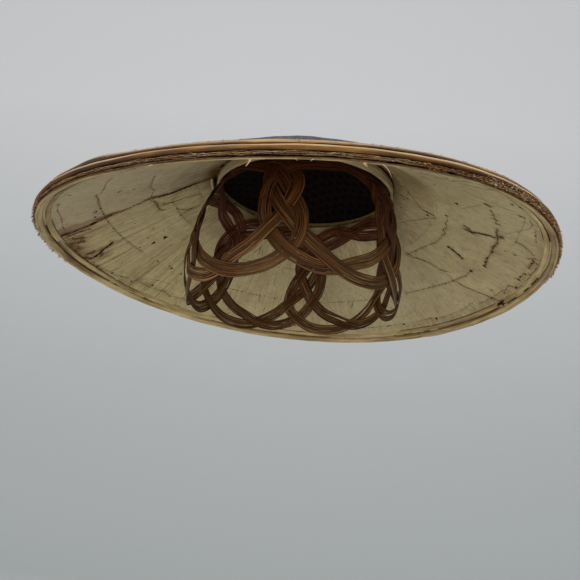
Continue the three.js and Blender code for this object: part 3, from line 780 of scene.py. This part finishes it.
def makeLeafLayer():
    # one plain sheet, and a band of torn leaf for each layer that shows at the rim
    piece, u, v = addGrid("leafSheet", 12, 240)
    turn = v * 360
    radius = leafBands["inner"] + u * (leafBands["sheet"] - leafBands["inner"])
    radius = radius + 0.9 * smoothNoise(turn, 3, 12) * (u < 0.01)
    lift = 0.15 + 0.25 * np.sin(np.radians(7 * turn) + radius / 23)
    grain = (np.radians(turn) * lining["grainRadius"], radius, 0)
    parts = [layOut(piece, onCone(radius, turn, lift), grain)]
    for inner, outer, level, seed, pale in leafBands["bands"]:
        piece, u, v = addGrid("leafBand", leafBands["across"], leafBands["steps"])
        turn = v * 360
        share = u ** 0.7
        radius = inner + share * (outer - tornEdge(turn, seed) - inner)
        lift = level + 0.4 * smoothNoise(turn, seed + 4, 9) * share ** 3
        lift = lift + 0.25 * smoothNoise(turn, seed + 5, 1.7) * share ** 6
        grain = (np.radians(turn) * leafBands["grainRadius"], radius, seed)
        frayed = pale * np.clip((u - 0.86) / 0.12, 0, 1) * (0.55 + 0.45 * smoothNoise(turn, seed + 6, 13))
        parts.append(layOut(piece, onCone(radius, turn, lift), grain, frayed))
    piece = weldMesh(joinPieces("leafLayer", parts), turnOut=False)
    return thicken(piece, leafBands["thickness"])


def addSlivers(name, rows):
    # many thin torn fibres in one mesh: start, tip, bend, then half width and half thickness in mm
    bpy.ops.object.select_all(action="DESELECT")
    bpy.ops.mesh.primitive_cone_add(vertices=4, radius1=1, radius2=0.25, depth=1, end_fill_type="NGON")
    template = bpy.context.object
    bpy.ops.object.mode_set(mode="EDIT")
    for height in (-0.12, 0.22):
        bpy.ops.mesh.select_all(action="SELECT")
        bpy.ops.mesh.bisect(plane_co=(0, 0, height), plane_no=(0, 0, 1))
    bpy.ops.object.mode_set(mode="OBJECT")
    shape = readPlaces(template)
    share = shape[:, 2] + 0.5
    shapes = []
    for number, (start, tip, bend, wide, thick) in enumerate(rows):
        length = np.linalg.norm(tip - start)
        axis = (tip - start) / length
        side = np.cross(axis, (start[0], start[1], 0) if abs(axis[2]) > 0.7 else (0, 0, 1.0))
        side = side / max(np.linalg.norm(side), 1e-9)
        line = start + share[:, None] * (tip - start) + (share * (1 - share) * 4)[:, None] * bend
        line = line + side * (shape[:, :1] * wide * mm) + np.cross(side, axis) * (shape[:, 1:2] * thick * mm)
        shapes.append((line, (share * length / mm, shape[:, 0] * wide, number % 97)))
    return repeatShape(name, template, shapes)


# each zone of fibres: how many, then the least and most of turn, radius, height, length and half width,
# then how much they curl, in mm, and how far they lie along the edge, in radians. Strays are single loose
# ends that hang from the rim: turn, length, how far they swing sideways, and half width.
strawZones = {"seed": 5, "zones": [
    (60, (-62, 30), (203.8, 205.2), (0.1, 1.4), (1.5, 4.5), (.08, .2), .2, 1.4),
    (30, (-20, 14), (204.8, 205.8), (0.0, 1.6), (1.5, 3.5), (.2, .45), 0.6, 1.2),
    (380, (-180, 180), (203, 205), (-0.1, 1.1), (0.7, 2.6), (.06, .18), .3, 1.0),
    (620, (30, 84), (204.6, 206.3), (-1.2, 4.0), (0.8, 2.4), (.2, .6), .4, 0.4),
    (130, (-45, 40), (202.5, 204), (7.6, 8.3), (0.7, 2.4), (.12, .3), .3, 1.0),
    (90, (-180, 180), (77, 78), (-0.9, 0.6), (0.8, 3.0), (.15, .5), .3, 0.3),
    (40, (-85, -45), (77, 78.5), (-0.9, 0.9), (2.0, 6.0), (.3, .9), .8, 0.3),
], "strays": [(-8.0, 4.6, -2.4, 0.5), (-8.7, 2.4, 0.6, 0.35), (9.0, 2.6, 0.9, 1.5), (11.6, 6.8, 5.0, 0.16),
              (13.4, 1.8, 3.0, 0.2), (-1.5, 1.4, 1.2, 0.25), (1.2, 1.4, -1.6, 0.25), (-24, 1.6, -2.2, 0.3)]}
crumbZones = {"seed": 8, "zones": [
    (700, (18, 88), (202.5, 205.2), (-1.4, 1.7), (0.8, 2.8), (.3, .9), .3, 0.3),
    (480, (30, 84), (204.8, 206.3), (-1.4, 3.8), (0.8, 2.4), (.3, .9), .3, 0.3),
    (500, (-180, 180), (202.5, 204.6), (-0.4, 1.2), (1.2, 4.0), (.08, .28), .2, 1.3),
    (320, (-100, -58), (203.6, 205.4), (-3.2, 1.2), (0.8, 2.2), (.25, .8), .3, 0.3),
    (180, (-90, -62), (204.6, 206.0), (-1.0, 3.5), (0.8, 2.2), (.25, .7), .3, 0.3),
    (120, (-180, 180), (77, 78.5), (-0.9, 0.6), (1.0, 4.0), (.2, .6), .3, 0.3),
    (50, (-85, -45), (77, 79), (-0.9, 0.6), (2.0, 7.0), (.4, 1.2), .8, 0.3),
    (40, (30, 75), (77, 79), (-0.9, 0.6), (2.0, 6.0), (.4, 1.1), .8, 0.3),
], "strays": []}
fibreLimit = 206.9          # no fibre reaches further out than this radius


def makeFibres(name, settings):
    # torn fibres strewn at random in their zones, then the strays
    draw = random.Random(settings["seed"])
    rows = []
    for count, *reaches, curl, lie in settings["zones"]:
        for _number in range(count):
            turn, radius, level, length, wide = (draw.uniform(*reach) for reach in reaches)
            slant = draw.choice((-1, 1)) * lie + draw.gauss(0, 0.5)
            outwards = length * math.cos(slant) * (1 if radius > 100 else -0.3)    # inwards at the crown
            reached = min(radius + outwards, fibreLimit)
            turned = turn + math.degrees(length * math.sin(slant) / radius)
            tip = onCone(reached, turned, level + draw.gauss(-0.1, 0.45))
            bend = np.array([draw.gauss(0, curl) for _axis in range(3)]) * mm
            rows.append((onCone(radius, turn, level), tip, bend, wide, draw.uniform(0.05, 0.12)))
    for turn, length, swing, wide in settings["strays"]:
        sway = turn + math.degrees(swing / 204)
        bend = np.array([draw.gauss(0, 0.8), -0.4, 0.2]) * mm
        rows.append((onCone(204.2, turn, -3.2), onCone(204.6, sway, -3.2 - length), bend, wide, 0.12))
    return addSlivers(name, rows)


finishPiece(makeLeafLayer(), brownMaterial, "brown_leaf", "leaf_layer", smooth=60)
finishPiece(makeFibres("strawFibres", strawZones), strawMaterial, "brown_leaf")
finishPiece(makeFibres("brownFibres", crumbZones), crumbMaterial, "brown_leaf")
print("torn edges made")


# Cracks, tears and needle holes of the lining

# needle holes and insect holes: turn, radius and width in mm
holes = [
    (301, 187, 1.3), (293.5, 152, 1.6), (294, 150.5, 1.1), (292.5, 141, 1.2), (282, 166, 1.9),
    (278.5, 167, 1.6), (283, 162.5, 1.2), (278.5, 161, 1.1), (256, 136, .9), (251, 131.5, .8),
    (252, 144.5, 1), (247, 135, 2.6), (248, 145, 2.2), (249.5, 156, 1.1), (261, 159.5, 1), (266.5, 160, 1),
    (272, 160.5, .9), (307.5, 132.5, .9), (301.5, 100, 1), (278, 189.5, 1.2), (295.5, 191, 1.2),
    (290.5, 190.5, 1), (284, 188.5, .8), (264.5, 144, .8), (238, 188.5, 1.3), (231, 182.5, 1.6),
    (238, 158, 1.3), (232.5, 157, 1), (231, 158, 1.6), (226, 159, 1.4), (251.5, 193, 1.2),
    (245.5, 190.5, 1.1), (62.5, 132.5, 2.3), (85, 107, 1.8), (77.5, 121.5, 1.8), (54.5, 160.5, 1.2),
    (59, 189, .9), (50, 124.5, 1.2), (48.5, 136.5, 1.1), (42.5, 157.5, .8), (42.5, 163.5, .8), (83, 86, 1),
    (94, 86.5, 1), (75.5, 89, .7), (47.5, 186, 1.7), (48.5, 190.5, 1.5), (97.5, 134, 2), (98, 147.5, 1.6),
    (94.5, 164, 2), (101, 160, 2.1), (105, 161, .9), (128, 188.5, 1.6), (140, 188, 1.4),
    (145.5, 187.5, 1.3), (90.5, 189.5, 1.6), (94, 192.5, 1.3), (99.5, 190.5, 1.1), (102, 182.5, 1.3),
    (80.5, 169.5, 1), (80, 176.5, 1.5), (81.5, 161, 1.5), (58, 161, 1.2), (114, 120.5, 1.1),
    (122, 156.5, 1), (111, 158.5, 1),
]
# what the photograph doesn't show: the back, and inside the front rim
hiddenTurns = [(145, 216), (318, 396)]
wear = {"seed": 17, "cracks": 90, "needleStep": (3.5, 9.5), "depth": 0.27, "ply": 0.08, "step": 0.7,
        "chips": 300, "specks": 170, "holeDepth": 0.32}


def addRibbon(line, width, seed, dashes=0.0, depth=wear["depth"], level=None, jag=0.5, dark=None):
    # a jagged dark strip on the lining's underside, along a line of turn and radius
    turns, radii = np.array(line, float).T
    spans = np.hypot(np.radians(np.diff(turns)) * (radii[1:] + radii[:-1]) / 2, np.diff(radii))
    run = np.concatenate([[0], np.cumsum(spans)])
    whole = run[-1]
    piece, u, v = addGrid("ribbon", 1, max(4, int(whole / wear["step"])))
    s = v * whole
    here, ahead, behind = (np.stack([np.interp(place, run, column) for column in (turns, radii)])
                           for place in (s, np.minimum(s + 0.5, whole), np.maximum(s - 0.5, 0)))
    turn, radius = here
    swing, climb = ahead - behind
    swing = np.radians(swing) * radius
    size = np.maximum(np.hypot(climb, swing), 1e-6)
    cut = np.abs(smoothNoise(s, seed, 5.3)) * 0.7 + 0.3
    cut = cut * (0.5 + 1.3 * np.abs(climb) / size * min(1, width))    # a tear along the veins gapes wider
    cut = 1 - (1 - cut) * min(1, 2 * jag)
    if dashes:
        cut = cut * np.clip((smoothNoise(s, seed + 3, 23.0) + 1 - dashes) * 4, 0.02, 1)
    cut = cut * np.clip(np.minimum(v, 1 - v) * whole / 2.5, 0.05, 1)
    wander = jag * (smoothNoise(s, seed + 1, 6.0) + 0.7 * smoothNoise(s, seed + 2, 2.1)) * min(1, whole / 9)
    offset = (u - 0.5) * width * cut + wander
    turned = turn + np.degrees(offset * climb / size / radius)
    reached = radius - offset * swing / size
    lift = (liningLift(turned, reached) if level is None else level) - depth
    if dark is None:
        dark = np.clip(width * cut * 1.3 - 0.35, 0, 1)
    return layOut(piece, onCone(reached, turned, lift), (s, offset, seed % 37), dark)


def makeCracks():
    # the charted cracks and tears, then the sewn rows and random cracks where the photograph shows nothing
    parts = [addRibbon(line, width, 300 + number) for number, (width, line) in enumerate(cracks)]
    parts += [addRibbon(line, width, 500 + number, depth=0.3) for number, (width, line) in enumerate(tearsAndSeamShadow)]
    for number, row in enumerate(sewnRows):
        for low, high in hiddenTurns:
            line = [(turn, along(row, turn % 360)) for turn in range(low, high + 1, 6)]
            parts.append(addRibbon(line, 1.0, 200 + 10 * number + low % 7, dashes=0.7))
    draw = random.Random(wear["seed"])
    for number in range(wear["cracks"]):
        low, high = draw.choice(hiddenTurns)
        turn, radius, length = draw.uniform(low, high), draw.uniform(95, 180), draw.uniform(4, 16)
        lean = draw.gauss(0, 1.2)
        line = [(turn, radius), (turn + 0.4 * lean, radius + length / 2), (turn + lean, radius + length)]
        parts.append(addRibbon(line, draw.uniform(0.3, 0.7), 400 + number))
    # the seams between the leaves, with thin dark lines as painted shadow under each leaf's free edge
    for number, (start, _tone, _veins) in enumerate(outerLeaves[1:] + innerLeaves[1:]):
        line = [(turn - 0.15, radius) for radius, turn in start]
        parts.append(addRibbon(line, 0.4, 600 + number, jag=0.15, depth=0.05))
    # painted shade in the gaps between hoop, inner strip and lining, and the dark knot in the inner strip
    for number, (radius, width) in enumerate(((198.6, 1.3), (193.9, 0.5))):
        line = [(turn, radius) for turn in range(0, 361, 5)]
        parts.append(addRibbon(line, width, 640 + number, level=-2.42, depth=0, jag=0.1, dark=0.3))
    for number, line in enumerate(([(103.2, 192.6), (103.8, 199.2)], [(105.8, 196.2), (101.6, 194.4)],
                                   [(104.8, 193.6), (102.4, 197.6)])):
        parts.append(addRibbon(line, 2.2, 650 + number, level=-3.5, depth=0, jag=0.2, dark=0.9))
    return thicken(weldMesh(joinPieces("liningCracks", parts), turnOut=False), wear["ply"])


def makeHoles():
    # the charted holes, more along the cracks and the hidden part of the sewn rows, and fine specks
    draw = random.Random(29)
    bpy.ops.object.select_all(action="DESELECT")
    bpy.ops.mesh.primitive_uv_sphere_add(segments=9, ring_count=4, radius=1)
    template = bpy.context.object
    shape = readPlaces(template)
    around = np.arctan2(shape[:, 1], shape[:, 0])
    places = [(turn, radius, 0.75 * wide) for turn, radius, wide in holes]
    for width, line in cracks:
        for turn, radius in line:
            if width >= 0.5 and draw.random() < 0.6:
                turned, reached = turn + draw.gauss(0, 0.1), radius + draw.gauss(0, 0.3)
                places.append((turned, reached, draw.uniform(0.5, 1.1) * min(width, 1.2)))
    for row in sewnRows:
        for turn, high in hiddenTurns:
            while turn < high:
                radius = along(row, turn % 360)
                places.append((turn, radius + draw.gauss(0, 0.5), draw.uniform(0.3, 0.65)))
                turn += math.degrees(draw.uniform(*wear["needleStep"]) / radius)
    for _number in range(wear["specks"]):
        turn, radius = draw.uniform(0, 360), math.sqrt(draw.uniform(85 ** 2, 196 ** 2))
        places.append((turn, radius, draw.uniform(0.15, 0.4)))
    shapes = []
    for number, (turn, radius, size) in enumerate(places):
        squeeze = draw.uniform(0.75, 1.3)
        corners = 1 + 0.38 * np.cos(3 * around + draw.uniform(0, 6.28))     # small tears are three-cornered
        reached = radius + shape[:, 0] * size * squeeze * corners
        turned = turn + np.degrees(shape[:, 1] * size / squeeze / radius * corners)
        lift = liningLift(turned, reached) - wear["holeDepth"] + shape[:, 2] * 0.12
        shapes.append((onCone(reached, turned, lift), (reached, turned, number % 53), min(1, size * 1.5)))
    return repeatShape("needleHoles", template, shapes)


def makeChips():
    # chips of brown leaf that curl off beside the tears and along the wider cracks
    draw = random.Random(41)
    rows = []
    wide = [line for width, line in cracks if width >= 1.0] + [line for _width, line in tearsAndSeamShadow] * 3
    for _number in range(wear["chips"]):
        line = draw.choice(wide)
        place = draw.randrange(len(line) - 1)
        share = draw.random()
        turn = line[place][0] * (1 - share) + line[place + 1][0] * share + draw.gauss(0, 0.35)
        radius = line[place][1] * (1 - share) + line[place + 1][1] * share + draw.gauss(0, 1.0)
        length = draw.uniform(1.0, 5.0)
        lift = liningLift(turn, radius) - 0.25
        tip = onCone(radius + length * draw.choice((-1, 1)), turn + draw.gauss(0, 0.4),
                     lift - draw.uniform(0.1, 0.8))
        bend = np.array([0, 0, -draw.uniform(0.0, 0.4)]) * mm
        rows.append((onCone(radius, turn, lift), tip, bend, draw.uniform(0.25, 1.1), 0.07))
    return addSlivers("leafChips", rows)


finishPiece(makeCracks(), crackMaterial, "brown_leaf")
finishPiece(makeHoles(), crackMaterial, "brown_leaf")
finishPiece(makeChips(), brownMaterial, "brown_leaf")
print("cracks made")


# Head basket of plaited rattan

basket = {"firstTurn": -9.5, "plaits": 6, "meanRadius": 85, "lift": 0.85, "lean": 0.0565, "tilt": 3.0,
          "top": 67, "bottomRadius": 89.5, "skeins": 8, "pitch": 1.27, "thick": 0.85, "steps": 116,
          "seed": 71, "sprung": 0.14}
basketProfile = [
    (-42, 81.5), (-30, 85), (-15, 88), (0, 89.5), (12, 89.5), (25, 87.5), (40, 84.5), (55, 79.2),
    (66, 72.4), (78, 70.5),
]
# the two closed loops of a plait: turn in degrees, height in mm, and 1 outside or -1 inside at a crossing
sweepingLoop = [
    (-8.2, 26, 0), (-7.2, 14, 0), (-4.2, 2.5, -1), (0.2, -8, 0), (5, -15, 1), (13, -21.5, .4),
    (21, -24.2, -.5), (30, -22.3, -1), (38, -17, -.3), (47, -10.3, .5), (55, 1, 1), (61.3, 15, -1),
    (65.2, 28, 1), (66.3, 37.5, .5), (65, 46, -.4), (61.3, 54, -1), (57, 60, 1), (49, 65.8, .3),
    (40, 67.5, -.5), (30, 64, -1), (20, 59.5, -.2), (10, 57, .5), (2, 54, 1), (-3.8, 48.5, -1),
    (-7.5, 38, 1),
]
crossingLoop = [
    (-7.8, 38, -1), (-4, 28, 0), (1.5, 15.5, 1), (10.3, .3, -1), (18.5, -11.5, .5), (30, -22.3, 1),
    (38, -26, .3), (47, -26.3, -.3), (56, -23.5, -.7), (65, -15, -1), (69.6, -6, .2), (70.6, 3, 1),
    (69.2, 16, .3), (65.2, 28, -1), (60.5, 38.5, 0), (56.3, 47.5, 1), (50.8, 53.5, -1), (42, 58.3, 0),
    (30, 64, 1), (19, 67.8, .4), (9, 66.6, -.4), (-2.5, 60.5, -1), (-8.3, 53, 1), (-9.4, 46, 0),
]


def traceLoop(rows, count):
    # evenly spaced points of a smooth closed line through the loop's rows, and how long the line is
    knots = np.array([(math.radians(turn) * basket["meanRadius"], height, side * basket["lift"])
                      for turn, height, side in rows])
    total = len(knots)
    points = []
    for i in range(total):
        p0, p1, p2, p3 = (knots[(i + k - 1) % total] for k in range(4))
        t0, t1, t2 = (math.sqrt(np.linalg.norm(b - a)) for a, b in ((p0, p1), (p1, p2), (p2, p3)))
        m1 = ((p1 - p0) / t0 - (p2 - p0) / (t0 + t1) + (p2 - p1) / t1) * t1
        m2 = ((p2 - p1) / t1 - (p3 - p1) / (t1 + t2) + (p3 - p2) / t2) * t1
        for t in np.linspace(0, 1, 40, endpoint=False):
            bow = (-3 * p1 + 3 * p2 - 2 * m1 - m2) * t ** 2 + (2 * p1 - 2 * p2 + m1 + m2) * t ** 3
            points.append(p1 + m1 * t + bow)
    points = np.array(points + points[:1])
    run = np.concatenate([[0], np.cumsum(np.linalg.norm(np.diff(points, axis=0), axis=1))])
    spaced = np.linspace(0, run[-1], count, endpoint=False)
    return np.stack([np.interp(spaced, run, points[:, k]) for k in range(3)], -1), run[-1]


def basketRadius(height):
    return along(basketProfile, height)


def onBasket(turn, height, out):
    # a place out from the basket's surface, with turn in radians, before it is hung
    radius = basketRadius(height) + out
    return np.stack([radius * np.sin(turn), -radius * np.cos(turn), height], -1)


def hangBasket(places):
    # leans the basket with the crown, and lets its lower band hang a little lower on the -X side
    hung = places.copy()
    drop = np.maximum(0, 1 - places[:, 2] / basket["top"])
    hung[:, 0] += basket["lean"] * np.maximum(0, places[:, 2])
    hung[:, 2] += basket["tilt"] * drop * np.minimum(0, places[:, 0] / basket["bottomRadius"])
    return hung * mm


def unit(vectors):
    return vectors / np.linalg.norm(vectors, axis=1, keepdims=True)


def makeBasket():
    # each plait is two closed loops of skeins side by side, bent from one ring
    draw = random.Random(basket["seed"])
    steps, skeins, pitch = basket["steps"], basket["skeins"], basket["pitch"]
    bpy.ops.object.select_all(action="DESELECT")
    bpy.ops.mesh.primitive_torus_add(major_segments=steps, minor_segments=8, major_radius=10, minor_radius=1)
    template = bpy.context.object
    ring = readPlaces(template)
    index = np.rint(np.arctan2(ring[:, 1], ring[:, 0]) / (2 * math.pi) * steps).astype(int) % steps
    corner = np.arctan2(ring[:, 2], np.hypot(ring[:, 0], ring[:, 1]) - 10)
    outer = np.where(np.sin(corner) > 0, 1.0, 0.7)            # a skein is split: flat inside, round outside
    loops = [traceLoop(rows, steps) for rows in (sweepingLoop, crossingLoop)]
    shapes = []
    for plait in range(basket["plaits"]):
        for which, (line, length) in enumerate(loops):
            turn = line[:, 0] / basket["meanRadius"]
            turn = turn + math.radians(basket["firstTurn"] + 360 / basket["plaits"] * plait)
            side = np.tanh(1.5 * line[:, 2] / basket["lift"]) / math.tanh(1.5) * basket["lift"]
            middle = onBasket(turn, line[:, 1], side)
            ahead = unit(np.roll(middle, -1, 0) - np.roll(middle, 1, 0))
            flare = (basketRadius(line[:, 1] + 1) - basketRadius(line[:, 1] - 1)) / 2
            across = unit(np.cross(ahead, np.stack([np.sin(turn), -np.cos(turn), -flare], -1)))
            facing = np.cross(across, ahead)
            place = np.arange(steps) / steps * length
            for number in range(skeins):
                offset = number - (skeins - 1) / 2
                seed = 1000 + 100 * plait + 20 * which + number
                wander = 0.16 * smoothNoise(place, seed, length / 5)
                wander = wander + 0.07 * smoothNoise(place, seed + 7, length / 17)
                if draw.random() < basket["sprung"]:              # a skein that has sprung out of its bundle
                    away = (place - draw.uniform(0, length) + length / 2) % length - length / 2
                    spring = math.copysign(draw.uniform(0.8, 1.7), offset)
                    wander = wander + spring * np.exp(-(away / 13) ** 2)
                wide = 0.5 * pitch * (1.0 + 0.10 * math.sin(seed * 2.1))
                thick = 0.5 * basket["thick"] * (1 + 0.12 * smoothNoise(place, seed + 9, length / 7))
                rise = 0.12 * smoothNoise(place, seed + 11, length / 6)
                centre = middle + across * (offset * pitch + wander)[:, None] + facing * rise[:, None]
                flat = wide * np.cos(corner) * np.clip(np.abs(np.cos(corner)) ** -0.25, 0, 1.2)
                shape = centre[index] + across[index] * flat[:, None]
                shape = shape + facing[index] * (thick[index] * np.sin(corner) * outer)[:, None]
                shapes.append((hangBasket(shape), (place[index], flat, seed * 0.713 % 37)))
    return weldMesh(repeatShape("headBasket", template, shapes), reach=1e-8)


finishPiece(makeBasket(), skeinMaterial, "rattan", "head_basket", smooth=70)
print("basket made")


# Floor, lights and camera

# the camera as fitted to the photograph: its place and lens in mm, and which way is right and up
view = {"place": (-3.2, -494.4, -176.7), "right": (0.99644, -0.02857, 0.07929),
        "up": (-0.08424, -0.30858, 0.94746), "lens": 38.98, "sensor": 36}
stage = {"floor": -0.8, "back": 2.2, "bend": 0.9, "run": 12, "rise": 2.4, "width": 24}
lamps = [("keyLight", (-0.7, -1.3, 1.5), 1.2, 12, "#fff6ea"),
         ("sideLight", (1.5, -0.8, 0.9), 1.0, 7, "#f4f7ff"),
         ("lowLight", (-0.5, -1.0, -0.36), 0.9, 3.0, "#fff6ea")]
sky = {"tint": "#e9ebee", "strength": 0.92}


def makeStage():
    # a pale floor that curves up into a backdrop
    floor, u, v = addGrid("floor", 2, 90)
    foot, bend = stage["run"], stage["bend"]
    s = v * (foot + bend * math.pi / 2 + stage["rise"])
    angle = np.clip((s - foot) / bend, 0, math.pi / 2)
    y = np.where(s < foot, s - foot, bend * np.sin(angle)) + stage["back"] - bend
    z = np.where(s < foot, 0, bend * (1 - np.cos(angle))) + np.clip(s - foot - bend * math.pi / 2, 0, None)
    layOut(floor, np.stack([(u - 0.5) * stage["width"], y, z + stage["floor"]], -1), (u, v, v))
    pick(floor)
    bpy.ops.object.shade_smooth()
    floor.data.materials.append(paperMaterial)


def addLight(name, place, size, power, tint):
    bpy.ops.object.light_add(type="AREA", location=place)
    lamp = bpy.context.object
    lamp.name = name
    lamp.data.shape = "DISK"
    lamp.data.size = size
    lamp.data.energy = power
    lamp.data.color = colour(tint)[:3]
    lamp.rotation_euler = (-Vector(place)).to_track_quat("-Z", "Y").to_euler()


def makeCamera():
    right, up = Vector(view["right"]).normalized(), Vector(view["up"]).normalized()
    back = right.cross(up).normalized()
    bpy.ops.object.camera_add(location=Vector(view["place"]) * mm)
    camera = bpy.context.object
    camera.rotation_euler = Matrix((right, back.cross(right), back)).transposed().to_euler()
    camera.data.lens = view["lens"]
    camera.data.sensor_width = view["sensor"]
    camera.data.clip_start = 0.01
    bpy.context.scene.camera = camera


makeStage()
for name, place, size, power, tint in lamps:
    addLight(name, place, size, power, tint)
world = bpy.data.worlds.new("studio")
world.use_nodes = True
world.node_tree.nodes["Background"].inputs[0].default_value = colour(sky["tint"])
world.node_tree.nodes["Background"].inputs[1].default_value = sky["strength"]
bpy.context.scene.world = world
bpy.context.scene.view_settings.view_transform = "Standard"
makeCamera()
print("stage made")
